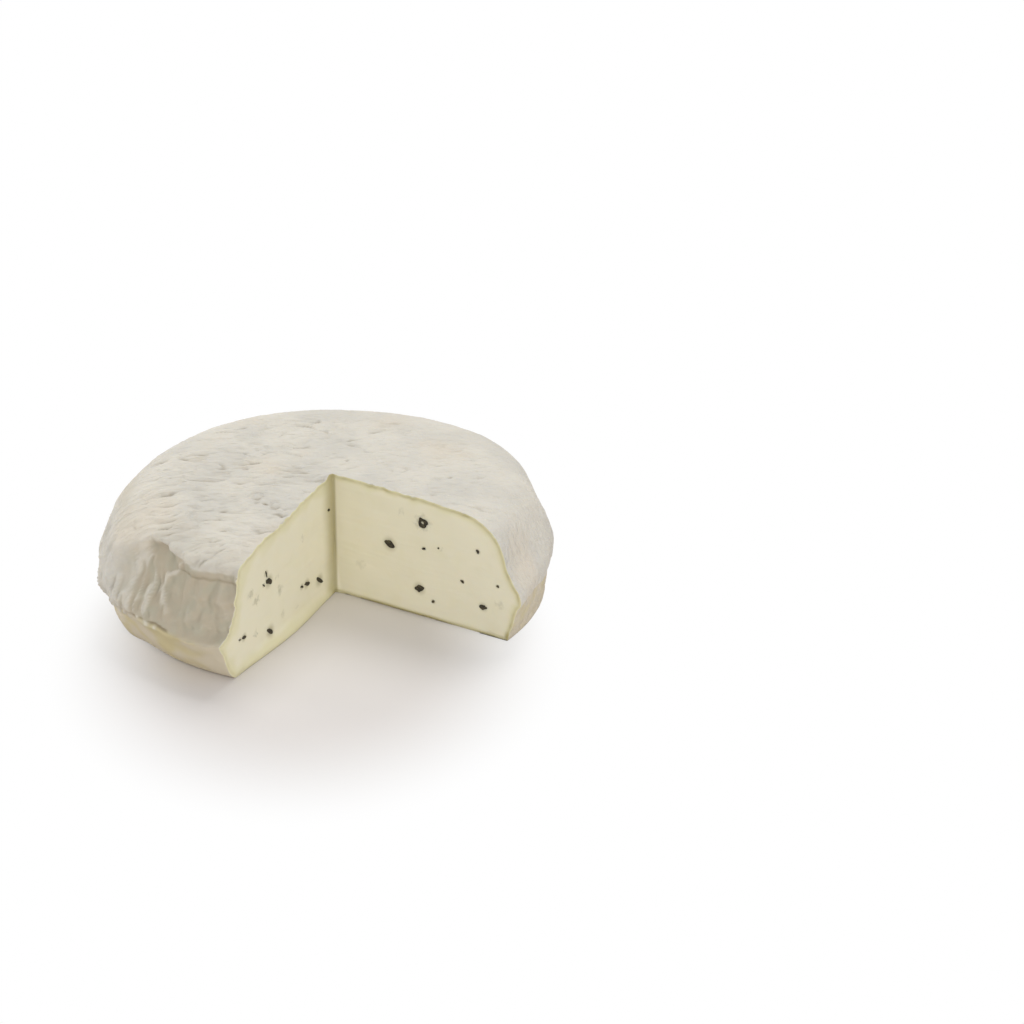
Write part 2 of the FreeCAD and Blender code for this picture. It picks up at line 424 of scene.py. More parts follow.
def topRelief(x, y):
    # how high the ripples stand here, and how far this is in a groove
    turn = math.radians(ripples["bearing"])
    run = x * math.cos(turn) + y * math.sin(turn)
    run += patches(x, y, ripples["wander"], 1)
    over = y * math.cos(turn) - x * math.sin(turn)
    over += patches(x, y, ripples["sway"], 2)
    over += patches(run, over, ripples["jitter"], 9)
    swell = patches(run, over, ripples["broad"], 3) + patches(run, over, ripples["fine"], 4)
    line = patches(run, over, ripples["grooveLine"], 5)
    gate = smooth(patches(run, over, ripples["grooveGate"], 6), *ripples["gate"])
    return swell, bell(line, 0, ripples["grooveWidth"]) * gate


def dimpleRelief(x, y):
    # how deep the dimples are here, and how brown
    depth = brown = 0.0
    for radius, bearing, length, width, lean, deep, dark in dimples["places"]:
        turn = math.radians(bearing)
        dx, dy = x - radius * math.cos(turn), y - radius * math.sin(turn)
        if max(abs(dx), abs(dy)) > dimples["reach"]:
            continue
        dx += patches(x, y, dimples["stray"], 7)
        dy += patches(x, y, dimples["stray"], 8)
        tilt = math.radians(ripples["bearing"] + lean)
        run = (dx * math.cos(tilt) + dy * math.sin(tilt)) / (length / 2)
        over = (dy * math.cos(tilt) - dx * math.sin(tilt)) / (width / 2)
        near = math.exp(-(run * run + over * over))
        depth += deep * near
        brown = max(brown, dark * near)
    return depth, brown


def sideRelief(around, height):
    # mm that the folds stand out
    around += side["slant"] * height + patches(around, height, side["drift"], 11)
    swell = patches(around, height, side["broadSwell"], 12)
    swell += patches(around, height, side["smallSwell"], 13)
    line = patches(around, height, side["ridgeLine"], 14)
    gate = smooth(patches(around, height, side["ridgeGate"], 15), *side["gate"])
    return side["swell"] * swell + side["ridge"] * bell(line, 0, side["ridgeWidth"]) * gate


def strokeRelief(around, height):
    # mm that the single ridges stand out, less than nothing in the single grooves
    out = 0.0
    for route, width, rise in strokes:
        nearest = math.inf
        for (b0, h0), (b1, h1) in zip(route, route[1:]):
            a0, a1 = math.radians(b0) * side["radius"], math.radians(b1) * side["radius"]
            da, dh = a1 - a0, h1 - h0
            share = ((around - a0) * da + (height - h0) * dh) / (da * da + dh * dh)
            share = min(max(share, 0.0), 1.0)
            nearest = min(nearest, math.hypot(around - a0 - share * da, height - h0 - share * dh))
        if nearest < side["strokeReach"] * width:
            out += rise * bell(nearest + patches(around, height, side["wobble"], 16), 0, width)
    return out


def creaseHeight(bearing):
    around = math.radians(bearing) * side["radius"]
    scallops = bumps(around, crease["bigScallops"], 5, 21) + bumps(around, crease["smallScallops"], 9, 22)
    scallops *= 1 - crease["calm"] * smooth(bearing, *crease["calmFrom"])
    height = along(crease["heights"], bearing) + crease["scallop"] * scallops
    return height + bumps(around, crease["broad"], 2, 23)


def creaseRelief(bearing, around, height, bottom):
    # mm that the rind's edge, its gap and its crumbs stand out, how much painted shade the gap gets, and
    # how pale
    edge, (fadeFrom, fadeTo) = crease["flapEdge"], crease["flapFade"]
    out = crease["flap"] * smooth(height, bottom - edge, bottom + edge)
    out *= 1 - smooth(height, bottom + fadeFrom, bottom + fadeTo)
    broken = smooth(bumps(around, crease["gapBumps"], 3, 24), *crease["gate"])
    broken = crease["gapLeast"] + crease["gapMore"] * broken
    broken = max(broken, bell(bearing, *crease["gapAt"]))
    broken *= 1 - crease["gapLoss"] * smooth(bearing, *crease["gapLossAt"])
    gap = bell(height, bottom - crease["grooveBelow"], crease["grooveHeight"]) * broken
    out -= crease["groove"] * gap
    pale = 0.0
    for crumbBearing, below, size in crease["crumbs"]:
        run = around - math.radians(crumbBearing) * side["radius"]
        if abs(run) < crease["crumbReach"]:
            rough = waves(around * crease["crumbGrain"], height * crease["crumbGrain"], seed=25)
            away = math.hypot(run * crease["crumbSquash"], height + below - bottom)
            crumb = bell(away + crease["crumbRough"] * rough, 0, size * crease["crumbSpread"])
            out += crease["crumbRise"] * size * crumb
            pale = max(pale, crumb)
    return out, gap * (1 - pale), pale


def goldenness(bearing, around, height):
    more = crease["goldenMore"] * bell(bearing, *crease["goldenAt"])
    less = crease["goldenLoss"] * smooth(bearing, *crease["goldenLossAt"])
    return crease["golden"] + more + (patches(around, height, crease["goldenUneven"], 26) - less)


def lipRelief(bearing, height, there):
    # mm that the rolled rim and its tuck stand out, how much painted shade falls right beneath the flap,
    # and how far this is below the rim
    rim = along(lip["line"], bearing) + bumps(bearing, lip["rimBumps"], 3, 31)
    share = lip["rollMean"] + bumps(bearing, lip["rollBumps"], 0, 32)
    rolled = lip["roll"] * bell(height, rim - lip["rollBelow"], lip["width"]) * share
    edge = rim - along(lip["under"], bearing) + bumps(bearing, lip["underBumps"], 7, 33)
    tuckAbove, tuckBelow = lip["tuckEdge"]
    tucked = smooth(height, edge + tuckAbove, edge - tuckBelow)
    tucked *= 1 - smooth(edge - height, *lip["tuckEnd"])
    # painted shade, in brown, beneath the flap's edge
    shaded = lip["shade"] * bell(height, edge - lip["shadeBelow"], lip["shadeHeight"])
    shaded *= smooth(bearing, *lip["shadeFrom"])
    sideFrom, sideTo = lip["sideBelow"]
    below = smooth(height, rim - sideFrom, rim - sideTo)
    return there * (rolled - lip["tuck"] * tucked), there * shaded, below


def levelRelief(bearing, height, bottom):
    # mm that the skin moves outwards, level
    if bearing < side["sunkShare"][-1][0]:
        return along(side["sunkShare"], bearing) * along(side["sunk"], height)
    if bearing < curtain["from"]:
        return 0.0
    line = along(curtain["browLine"], height)
    brow = curtain["brow"] * bell(bearing, line - curtain["browBefore"], curtain["browSpread"])
    brow *= smooth(height, *curtain["browFrom"])
    brow *= 1 - smooth(height, *curtain["browTo"])
    return brow + along(curtain["share"], bearing) * along(curtain["steps"], height - bottom)


def skinRelief(point):
    # mm outwards and mm level, then how brown it is, with the painted shade of hollows, the crease's gap
    # and the flap's underside, how bare and golden it is, and how thin the mould is
    x, y, z = point / mm
    bearing = bearingOf(point)
    radius = math.hypot(x, y)
    around = math.radians(bearing) * side["radius"]
    byLip = smooth(bearing, *lip["starts"]) * smooth(radius, *lip["outer"])
    bottom = creaseHeight(bearing)
    level = levelRelief(bearing, z, bottom) if radius > side["outer"][0] else 0.0
    onSide = smooth(z, side["top"], side["top"] - side["fade"]) * smooth(radius, *side["outer"])
    flap = shaded = 0.0
    if byLip:
        flap, shaded, below = lipRelief(bearing, z, byLip)
        onSide = blend(onSide, below, byLip)
    out = flap - onSide * side["lean"]

    reach = rippleReach(bearing)
    inField = smooth(radius, reach + ripples["fade"], reach - ripples["fade"] / 2)
    calm = blend(ripples["calmSide"], 1.0, smooth(bearing, *ripples["calmTo"]))
    strength = (1 - onSide) * calm * max(inField, byLip, ripples["outside"])
    swell, groove = topRelief(x, y)
    out += strength * (swell - ripples["groove"] * groove)
    # thinner mould and painted shade in the grooves and dips
    rippleShadeAndBrown = ripples["grooveShadeAndBrown"] * groove + ripples["dipShadeAndBrown"] * smooth(swell, 0.0, -ripples["dip"])
    brownAndShade = strength * rippleShadeAndBrown
    if radius < dimples["radius"] and z > dimples["height"]:
        depth, brown = dimpleRelief(x, y)
        out -= depth
        brownAndShade = max(brownAndShade, brown)

    band = pale = crest = 0.0
    if onSide:
        grown = max(smooth(z, *side["foldsFrom"]), byLip)
        folds = grown * along(side["strength"], bearing) * sideRelief(around, z)
        folds += strokeRelief(around, z)
        low = patches(around, z, side["low"], 17)
        above = smooth(z, bottom, bottom + side["foldsEnd"])
        crest = above * smooth(folds, *side["crestRise"])
        out += onSide * blend(low, folds, above)
        edge, gap, pale = creaseRelief(bearing, around, z, bottom)
        out += onSide * edge
        # painted shade in the hollows between the folds, in brown, with thinner mould there
        hollow = above * side["dipShadeAndBrown"] * smooth(folds, 0.0, -side["dip"])
        # the crease's gap is painted dark, as shade
        brownAndShade = max(brownAndShade, shaded, onSide * max(gap, hollow))
        bandBelow, bandAbove = crease["bandEdge"]
        band = onSide * (1 - smooth(z, bottom - bandBelow, bottom + bandAbove))
    uncovered = 1 - crease["crumbPale"] * pale
    band *= uncovered
    # paler crests of the folds: thicker mould, partly painted light on them
    crest *= side["crests"] * (1 - side["crestLoss"] * smooth(bearing, *side["crestLossAt"]))
    # thin mould on the side, partly painted shade under the lip
    thin = onSide * along(side["thinnessAndShade"], bearing) * uncovered * (1 - crest)
    shoulder = bell(bearing, *side["creamAt"]) * bell(z, *side["creamHeight"])
    thin = max(thin, lip["tint"] * byLip, side["cream"] * shoulder)

    grain = ripples["mealySize"]
    out += ripples["mealy"] * waves(x / grain, y / grain, z / grain, seed=41)
    rising = smooth(z, 0.0, side["footFade"])
    return out * rising, level * rising, brownAndShade, band, goldenness(bearing, around, z), thin


def reliefSkin(bm, layers):
    bm.normal_update()
    band, golden = layers[1:3]
    moves = []
    for vert in bm.verts:
        if vert.co.z < wheel["flat"] * mm:
            vert[band] = 1.0
            vert[golden] = crease["goldenUnder"]
            continue
        normal = vert.normal.copy()
        out, level, *amounts = skinRelief(vert.co)
        for layer, amount in zip(layers, amounts):
            vert[layer] = amount
        if vert.is_boundary:
            bearing = 0 if bearingOf(vert.co) < 1 else wheel["sweep"]
            across = turned(Vector((0, 1, 0)), bearing)
            normal -= across * normal.dot(across)
        radial = Vector((vert.co.x, vert.co.y, 0)).normalized()
        moves.append((vert, (normal * out + radial * level) * mm))
    for vert, move in moves:
        vert.co += move


# ---- the two cut faces

cut = {
    "reach": 60.0,  # mm from the focus to the outermost ring, at the side
    "firstRings": (0.25, 0.3, 0.4, 0.5, 0.6, 0.8, 1.0),  # mm between the first ones, and then
    "ring": 1.3,
    "easeRounds": 30,
    "easeStep": 1e-3,  # radians; nearer points of the edge, seen from the focus, are smoothed
    "soften": 0.18,  # mm taken off the edge of the rind, over this width
    "softenWidth": 0.15,
    "ragged": (0.16, 1.6, 1.6),  # unevenness of the edge of the rind
    "raggedWidth": 1.2,
    "raggedFrom": (2, 8),  # it grows between these heights
    "footTuck": (0.45, 0.15),  # mm that the foot of each face is drawn in,
    "footHeight": 1.0,  # below this height
    "line": 0.45,  # mm from the rind to the middle of the olive line
    "lineWidth": 0.5,
    "lineShares": (0.62, 0.3),  # how strong it is on each face
    "footShares": (1.0, 0.3),  # and along the foot of each, where it is also painted contact shadow
    "footWidth": 1.5,  # and how much wider it is there
    "footLine": (1.0, 4.0),  # the foot's line turns into the other between these heights
    "lineMean": 0.8,  # the line's mean strength, and how much it varies
    "lineStrength": (0.6, 2.2, 2.2),
    "yellow": (2.5, 5.5),  # mm that the paste is yellower below the rind, on each face
    "yellowFrom": 0.2,
    "yellowUneven": (0.8, 5.0, 5.0),
    "swell": (0.2, 7.0, 5.0),  # broad unevenness of the faces, full this far below the rind
    "swellFull": 3.0,
    "drag": (0.07, 9.0, 1.1),  # and the level marks of the knife
    "dragFull": 1.5,
    "bulge": 1.9,  # mm that the paste has crept out at the foot of the second face
    "bulgeAt": (26.0, 19.0),  # mm from the corner, and the spread
    "bulgeHeights": (0.4, 4.5),
    "cornerFade": 2.0,  # mm from the inner corner, where all this starts
}
cutFaces = (("first", 0), ("second", wheel["sweep"]))


def cutPlane(bearing):
    # the way out along a cut face, and the way it faces
    return turned(Vector((1, 0, 0)), bearing), turned(Vector((0, 1 if bearing else -1, 0)), bearing)


def rindEdge(bm, bearing):
    run, outward = cutPlane(bearing)
    edge = [v for v in bm.verts if v.is_boundary and abs(v.co.dot(outward)) < touching]
    edge = [v for v in edge if v.co.dot(run) > -touching]
    return sorted(edge, key=lambda v: math.atan2(v.co.z - focus.z, v.co.dot(run)))


def easeEdge(border, bearing):
    # the edge is smoothed wherever the relief would make it fold back, as seen from the focus
    run = cutPlane(bearing)[0]

    def rise(vert):
        return math.atan2(vert.co.z - focus.z, vert.co.dot(run))

    for _ in range(cut["easeRounds"]):
        for before, vert, after in zip(border, border[1:], border[2:]):
            if min(rise(vert) - rise(before), rise(after) - rise(vert)) < cut["easeStep"]:
                vert.co = (before.co + vert.co * 2 + after.co) / 4


def cutLook(bearing, x, z, away):
    # how strong the olive line is here, with painted contact shadow along the foot, and how yellow the
    # paste
    face = 1 if bearing else 0
    aboveFoot = smooth(z, *cut["footLine"])
    lineStrength = cut["lineMean"] + patches(x, z, cut["lineStrength"], 54 + bearing)
    # along the foot the line is strengthened and widened as painted contact shadow
    lineStrength *= blend(cut["footShares"][face], cut["lineShares"][face], aboveFoot)
    line = bell(away, cut["line"], cut["lineWidth"] * blend(cut["footWidth"], 1.0, aboveFoot))
    shade = 1 + patches(x, z, cut["yellowUneven"], 55 + bearing)
    return line * lineStrength, 1 - smooth(away, cut["yellowFrom"], cut["yellow"][face] * shade)


def cutRelief(bearing, x, z, away):
    # mm that a cut face stands out
    face = 1 if bearing else 0
    out = -cut["soften"] * bell(away, 0, cut["softenWidth"])
    ragged = patches(x, z, cut["ragged"], 50 + bearing) * bell(away, 0, cut["raggedWidth"])
    out += ragged * smooth(z, *cut["raggedFrom"])
    out += patches(x, z, cut["swell"], 51 + bearing) * smooth(away, 0, cut["swellFull"])
    out += patches(x, z, cut["drag"], 52 + bearing) * smooth(away, 0, cut["dragFull"])
    out -= cut["footTuck"][face] * (1 - smooth(z, 0, cut["footHeight"]))
    if bearing:
        lean = bell(x, *cut["bulgeAt"])
        out += cut["bulge"] * lean * (1 - smooth(z, *cut["bulgeHeights"]))
    return out


def fillCut(bm, bearing, border, skinTree, layers):
    # the outline of the rind in this cut plane, drawn again and again in smaller rings towards the focus
    run, outward = cutPlane(bearing)
    outline = [v.co.copy() for v in border]
    reach = cut["reach"]
    sizes = [reach]
    for gap in cut["firstRings"]:
        sizes.append(sizes[-1] - gap)
    while sizes[-1] > cut["ring"]:
        sizes.append(sizes[-1] - cut["ring"])
    sizes.append(0.0)
    last = len(outline) - 1

    def ringPoint(u, row):
        return focus + (outline[round(u * last)] - focus) * (sizes[row] / reach)

    made = wrapGrid(bm, last, len(sizes) - 1, ringPoint)
    for face in {face for vert in made for face in vert.link_faces}:
        face.material_index = 1
    for vert in made + border:
        x, z = vert.co.dot(run) / mm, vert.co.z / mm
        away = skinTree.find_nearest(vert.co)[3] / mm
        for layer, amount in zip(layers, cutLook(bearing, x, z, away)):
            vert[layer] = amount
        vert.co += outward * cutRelief(bearing, x, z, away) * smooth(x, 0, cut["cornerFade"]) * mm


def asPiece(bm, name):
    mesh = bpy.data.meshes.new(name)
    bm.to_mesh(mesh)
    bm.free()
    piece = bpy.data.objects.new(name, mesh)
    bpy.context.scene.collection.objects.link(piece)
    return piece


def buildWheel():
    bm = bmesh.new()
    wrapSkin(bm)
    print("skin:", len(bm.verts), "points")
    layers = [bm.verts.layers.float.new(name) for name in rindLayers + pasteLayers]
    borders = [(bearing, rindEdge(bm, bearing)) for name, bearing in cutFaces]
    reliefSkin(bm, layers[:len(rindLayers)])
    for bearing, border in borders:
        easeEdge(border, bearing)
    skinTree = BVHTree.FromBMesh(bm)
    for bearing, border in borders:
        fillCut(bm, bearing, border, skinTree, layers[len(rindLayers):])
    for face in bm.faces:
        face.smooth = True
    bmesh.ops.remove_doubles(bm, verts=bm.verts, dist=wheel["weldWheel"] * mm)
    bmesh.ops.recalc_face_normals(bm, faces=bm.faces)
    loose = [e for e in bm.edges if len(e.link_faces) != 2]
    print("wheel:", len(bm.faces), "faces,", len(loose), "open edges")
    return asPiece(bm, "cheeseWheel")


# ---- materials

def colour(text):
    # a colour as it is seen, written as two hex digits for each of red, green and blue
    parts = [int(text[i:i + 2], 16) / 255 for i in (0, 2, 4)]
    return tuple(p / 12.92 if p <= 0.04045 else ((p + 0.055) / 1.055) ** 2.4 for p in parts) + (1,)


def newMaterial(name):
    material = bpy.data.materials.new(name)
    material.use_nodes = True
    tree = material.node_tree
    tree.nodes.clear()
    output = tree.nodes.new("ShaderNodeOutputMaterial")
    place = tree.nodes.new("ShaderNodeTexCoord").outputs["Object"]
    return material, tree, output, place


def feed(tree, socket, value):
    if isinstance(value, bpy.types.NodeSocket):
        tree.links.new(value, socket)
    else:
        socket.default_value = value


def addNode(tree, kind, settings=None, **inputs):
    node = tree.nodes.new(kind)
    for name, value in (settings or {}).items():
        setattr(node, name, value)
    for name, value in inputs.items():
        feed(tree, node.inputs[name.replace("_", " ")], value)
    return node


def mixColours(tree, share, first, second):
    node = tree.nodes.new("ShaderNodeMix")
    node.data_type = "RGBA"
    for socket, value in ((0, share), (6, first), (7, second)):
        feed(tree, node.inputs[socket], value)
    return node.outputs[2]


def compute(tree, operation, *values, kind="ShaderNodeMath"):
    node = addNode(tree, kind, {"operation": operation})
    for socket, value in zip(node.inputs, values):
        feed(tree, socket, value)
    return node


def distance(tree, place, other=(0, 0, 0)):
    return compute(tree, "DISTANCE", place, other, kind="ShaderNodeVectorMath").outputs["Value"]


def remap(tree, value, fromLow, fromHigh, toLow=0.0, toHigh=1.0):
    node = addNode(tree, "ShaderNodeMapRange", {"interpolation_type": "SMOOTHSTEP"})
    tree.links.new(value, node.inputs["Value"])
    ends = {"From Min": fromLow, "From Max": fromHigh, "To Min": toLow, "To Max": toHigh}
    for name, number in ends.items():
        node.inputs[name].default_value = number
    return node.outputs["Result"]


def cloud(tree, place, size, detail=2.0, roughness=0.5):
    look = {"Scale": 1 / (size * mm), "Detail": detail, "Roughness": roughness}
    return addNode(tree, "ShaderNodeTexNoise", Vector=place, **look).outputs["Fac"]


def stretched(tree, place, middle, turn, scale):
    # places measured from a middle, along a bearing, in units so long, so wide and so high
    node = addNode(tree, "ShaderNodeMapping", {"vector_type": "TEXTURE"}, Vector=place, Location=middle,
                   Rotation=(0, 0, math.radians(turn)), Scale=scale)
    return node.outputs[0]


def readLayer(tree, name):
    return addNode(tree, "ShaderNodeAttribute", {"attribute_name": name}).outputs["Fac"]


def mottle(tree, place, base, tint, size, detail, low, high, strength):
    # patches of another colour, where the noise is above low, and full where it is above high
    share = remap(tree, cloud(tree, place, size, detail), low, high, 0, strength)
    return mixColours(tree, share, base, colour(tint))


def addGrain(tree, place, grain, strength, depth):
    height = cloud(tree, place, *grain)
    return addNode(tree, "ShaderNodeBump", Strength=strength, Distance=depth * mm, Height=height)


lightShares = (1.0, 0.8, 0.5)  # of the depth that light goes in, for red, green and blue


def softBody(tree, base, bump, look):
    # a surface that lets light in a little way
    return addNode(
        tree, "ShaderNodeBsdfPrincipled", Base_Color=base, Normal=bump.outputs[0],
        Roughness=look["roughness"], Specular_IOR_Level=look["specular"],
        Subsurface_Weight=look["lightIn"], Subsurface_Radius=lightShares,
        Subsurface_Scale=look["lightDepth"] * mm,
    )


rind = {
    "white": "e0dbcf",
    "grey": "d6d2c8",
    "cream": "ded5c5",
    # patches on the white: colour, size in mm, detail, the noise where they start and are full, strength
    "patches": (
        ("grey", 16, 2, 0.35, 0.65, 1.0),
        ("cream", 23, 3, 0.5, 0.72, 0.8),
        ("cream", 1.1, 3, 0.4, 0.8, 0.3),
    ),
    "thin": "c0b5a0",  # the side, where the mould is thin; under the lip this colour is partly painted shade
    "thinGrey": "bab4a0",
    "thinPatch": (5, 3, 0.38, 0.68, 1.0),
    "thinFrom": (0.1, 1.0),
    "band": "d2c599",  # the bare band at the foot
    "bandPink": "d6cbb4",
    "goldenFrom": (0.2, 0.9),
    "bandStrength": 0.85,
    # brown of the dimples, also used for the painted shade of hollows, the crease's gap and beneath the
    # flap
    "brown": "8f8168",
    "brownFrom": (0.15, 1.0),
    "brownStrength": 0.9,
    "crinkle": (0.0062, 0.0017, 0.003),  # metres along, across and up
    "crinkleDepth": 1.0,  # mm
    "crinkleThin": (0.7, 0.35),  # from this thin to this thin the mould gets its crinkles
    # the grain of the mould: its size in mm, detail and roughness, then its strength and depth in mm
    "mealy": ((0.4, 5, 0.6), 0.6, 0.12),
    "roughness": 0.8,
    "specular": 0.25,
    "lightIn": 0.12,
    "lightDepth": 1.0,  # mm
}
rindLayers = ("brownAndShade", "band", "golden", "thin")


def rindMaterial():
    material, tree, output, place = newMaterial("mould rind")
    brownAndShade, band, golden, thin = (readLayer(tree, name) for name in rindLayers)
    base = colour(rind["white"])
    for tint, *patch in rind["patches"]:
        base = mottle(tree, place, base, rind[tint], *patch)
    bared = mottle(tree, place, colour(rind["thin"]), rind["thinGrey"], *rind["thinPatch"])
    base = mixColours(tree, remap(tree, thin, *rind["thinFrom"]), base, bared)
    share = remap(tree, golden, *rind["goldenFrom"])
    bare = mixColours(tree, share, colour(rind["bandPink"]), colour(rind["band"]))
    base = mixColours(tree, remap(tree, band, 0.0, 1.0, 0, rind["bandStrength"]), base, bare)
    # brown of dimples and thin mould, together with the painted shade of hollows, the crease's gap and
    # beneath the flap
    share = remap(tree, brownAndShade, *rind["brownFrom"], 0, rind["brownStrength"])
    base = mixColours(tree, share, base, colour(rind["brown"]))
    # fine crinkles that run with the ripples, and the mealy grain of the mould
    crinkles = stretched(tree, place, (0, 0, 0), ripples["bearing"], rind["crinkle"])
    onTop = remap(tree, thin, *rind["crinkleThin"])
    crinkleBump = addGrain(tree, crinkles, (1 / mm,), onTop, rind["crinkleDepth"])
    bump = addGrain(tree, place, *rind["mealy"])
    tree.links.new(crinkleBump.outputs[0], bump.inputs["Normal"])
    skin = softBody(tree, base, bump, rind)
    tree.links.new(skin.outputs[0], output.inputs["Surface"])
    return material


paste = {
    "ivory": "e9e3ca",
    "outer": "e1dbb7",
    "outerPatch": (6, 3, 0.45, 0.8, 0.3),  # mm, detail, the noise where it starts and is full, strength
    "olive": "a99e6c",
    "smoke": "b9b49a",  # flecks that lie under the surface
    "halo": "a8a07e",  # round the flecks that show
    "haloSize": 0.42,  # of a fleck's length and width together
    "haloStrength": 0.85,
    "spotFade": 1.15,  # a spot ends at this share of its radius
    "corner": "a89d6c",  # painted shade: the inner corner is darker, as if in its own shadow
    "cornerReach": 7.0,  # mm
    "cornerStrength": 0.8,
    "cornerAcross": (1.2, 0.3),  # mm of X between which that starts, so mostly on the second face
    "curd": ((1.4, 4, 0.55), 0.4, 0.1),  # its grain, as for the rind
    "roughness": 0.48,
    "specular": 0.4,
    "lightIn": 0.25,
    "lightDepth": 1.5,  # mm
    "stray": 1.2,  # mm that the outlines of the hidden flecks stray, and the size of that
    "straySize": 1.3,
    # out, up, radius in mm and strength of each hidden fleck, on each cut face
    "hidden": (
        (0, 28.6, 28.9, 2.8, 1.0), (0, 8.6, 11.0, 1.6, 0.35), (0, 34.5, 22.4, 0.8, 0.3),
        (0, 52.5, 10.5, 1.6, 0.4), (0, 22.0, 30.5, 1.2, 0.25), (274, 44.7, 20.5, 1.6, 0.8),
        (274, 41.6, 17.5, 1.6, 0.8), (274, 29.7, 14.9, 1.6, 0.7), (274, 42.5, 7.7, 1.2, 0.7),
        (274, 28.4, 7.1, 1.3, 0.35), (274, 21.1, 5.6, 1.1, 0.3), (274, 17.1, 24.6, 1.4, 0.35),
        (274, 30.8, 19.2, 1.0, 0.35),
    ),
}
pasteLayers = ("oliveLine", "yellowed")


def addSpot(tree, place, base, tint, bearing, out, up, radius, strength):
    away = distance(tree, place, (cutPlane(bearing)[0] * out + Vector((0, 0, up))) * mm)
    near = remap(tree, away, paste["spotFade"] * radius * mm, 0.0, 0, strength)
    return mixColours(tree, near, base, colour(tint))


def cornerShade(tree, place):
    # how much painted shade the inner corner gets here
    parts = addNode(tree, "ShaderNodeSeparateXYZ")
    tree.links.new(place, parts.inputs[0])
    flat = addNode(tree, "ShaderNodeCombineXYZ", X=parts.outputs["X"], Y=parts.outputs["Y"])
    away = distance(tree, flat.outputs[0])
    near = remap(tree, away, paste["cornerReach"] * mm, 0.0, 0, paste["cornerStrength"])
    start, full = paste["cornerAcross"]
    across = remap(tree, parts.outputs["X"], start * mm, full * mm)
    return compute(tree, "MULTIPLY", near, across).outputs[0]


def pasteMaterial():
    material, tree, output, place = newMaterial("ivory paste")
    oliveLine, yellowed = (readLayer(tree, name) for name in pasteLayers)
    base = mixColours(tree, remap(tree, yellowed, 0, 1), colour(paste["ivory"]), colour(paste["outer"]))
    base = mottle(tree, place, base, paste["outer"], *paste["outerPatch"])
    scale = 1 / (paste["straySize"] * mm)
    stray = addNode(tree, "ShaderNodeTexNoise", {"normalize": False}, Vector=place, Scale=scale, Detail=3.0)
    strays = stray.outputs["Color"], (paste["stray"] * mm,) * 3, place
    uneven = compute(tree, "MULTIPLY_ADD", *strays, kind="ShaderNodeVectorMath")
    for spot in paste["hidden"]:
        base = addSpot(tree, uneven.outputs[0], base, paste["smoke"], *spot)
    for name, bearing in cutFaces:
        for out, up, length, width, lean in flecks[name]:
            halo = paste["haloSize"] * (length + width), paste["haloStrength"]
            base = addSpot(tree, place, base, paste["halo"], bearing, out, up, *halo)
    base = mixColours(tree, oliveLine, base, colour(paste["olive"]))
    # painted shade darkens the paste towards the inner corner
    base = mixColours(tree, cornerShade(tree, place), base, colour(paste["corner"]))
    bump = addGrain(tree, place, *paste["curd"])
    body = softBody(tree, base, bump, paste)
    tree.links.new(body.outputs[0], output.inputs["Surface"])
    return material


# ---- truffle flecks

flecks = {
    "seed": 7,
    "seedSpread": 50,
    "thickness": 0.7,  # mm, of which only a little stands proud of the paste
    "proud": 0.14,
    "lumpMean": 0.9,  # the outline's share of the ball, and how much it varies
    "lump": 0.5,
    "lumpGrain": 2.2,
    "dip": 0.35,  # mm that the middle of a hollow fleck dips
    "dipShape": (0, 0.14, 3),  # its middle, its width as a share of the fleck, and how suddenly it ends
    "clear": 6,  # mm in front of a cut face, from where it is looked for
    "dark": "2a2519",
    "light": "51482f",
    "lightPatch": (0.7, 4, 0.4, 0.7, 1.0),
    "grain": ((0.4, 4), 0.5, 0.1),
    "roughness": 0.7,
    # for each cut face: mm out from the tip, mm up, length, width, lean in degrees
    "first": (
        (18.1, 19.7, 3.9, 2.2, -26), (27.4, 8.7, 3.0, 2.3, 38), (29.0, 21.2, 1.2, 0.8, 12),
        (33.6, 22.6, 0.7, 0.5, 33), (45.9, 24.8, 1.4, 0.9, -60), (31.7, 5.8, 1.3, 0.8, 26),
        (47.5, 8.5, 2.4, 1.6, 20), (41.0, 14.5, 1.2, 0.8, -30), (52.0, 16.0, 1.0, 0.8, 0),
    ),
    "second": (
        (34.9, 20.0, 3.9, 1.8, 31), (36.1, 22.8, 2.6, 0.5, 75), (37.7, 20.1, 1.5, 0.5, 40),
        (15.5, 10.0, 3.1, 1.2, 24), (18.2, 10.4, 2.2, 0.7, 23), (8.4, 7.7, 4.3, 1.2, 41),
        (2.3, 26.3, 1.4, 0.9, 20), (35.1, 5.1, 4.2, 1.4, 38), (48.4, 9.8, 2.7, 1.0, 20),
        (50.6, 10.1, 1.6, 0.4, 20),
    ),
    # flecks with a paler middle, which dips below the paste: bearing of the face first
    "hollow": ((0, 28.6, 28.9, 3.5, 3.1, -40),),
}


def addFleck(bm, wheelTree, bearing, out, up, length, width, lean, seed, dip=0.0):
    run, outward = cutPlane(bearing)
    start = run * out * mm + Vector((0, 0, up * mm)) + outward * flecks["clear"] * mm
    middle = wheelTree.ray_cast(start, -outward)[0]
    tilt = math.radians(lean)
    ball = bmesh.ops.create_icosphere(bm, subdivisions=3, radius=0.5)["verts"]
    for vert in ball:
        lump = noise.noise(vert.co * flecks["lumpGrain"] + Vector((seed, 0, 0)))
        lump = flecks["lumpMean"] + flecks["lump"] * lump
        a, b, c = vert.co.x * length * lump, vert.co.y * width * lump, vert.co.z * flecks["thickness"]
        dipped = bell(vert.co.xy.length, *flecks["dipShape"])
        c = min(c, flecks["proud"]) - dip * dipped
        across = a * math.cos(tilt) - b * math.sin(tilt)
        rise = a * math.sin(tilt) + b * math.cos(tilt)
        vert.co = middle + (run * across + Vector((0, 0, rise)) + outward * c) * mm


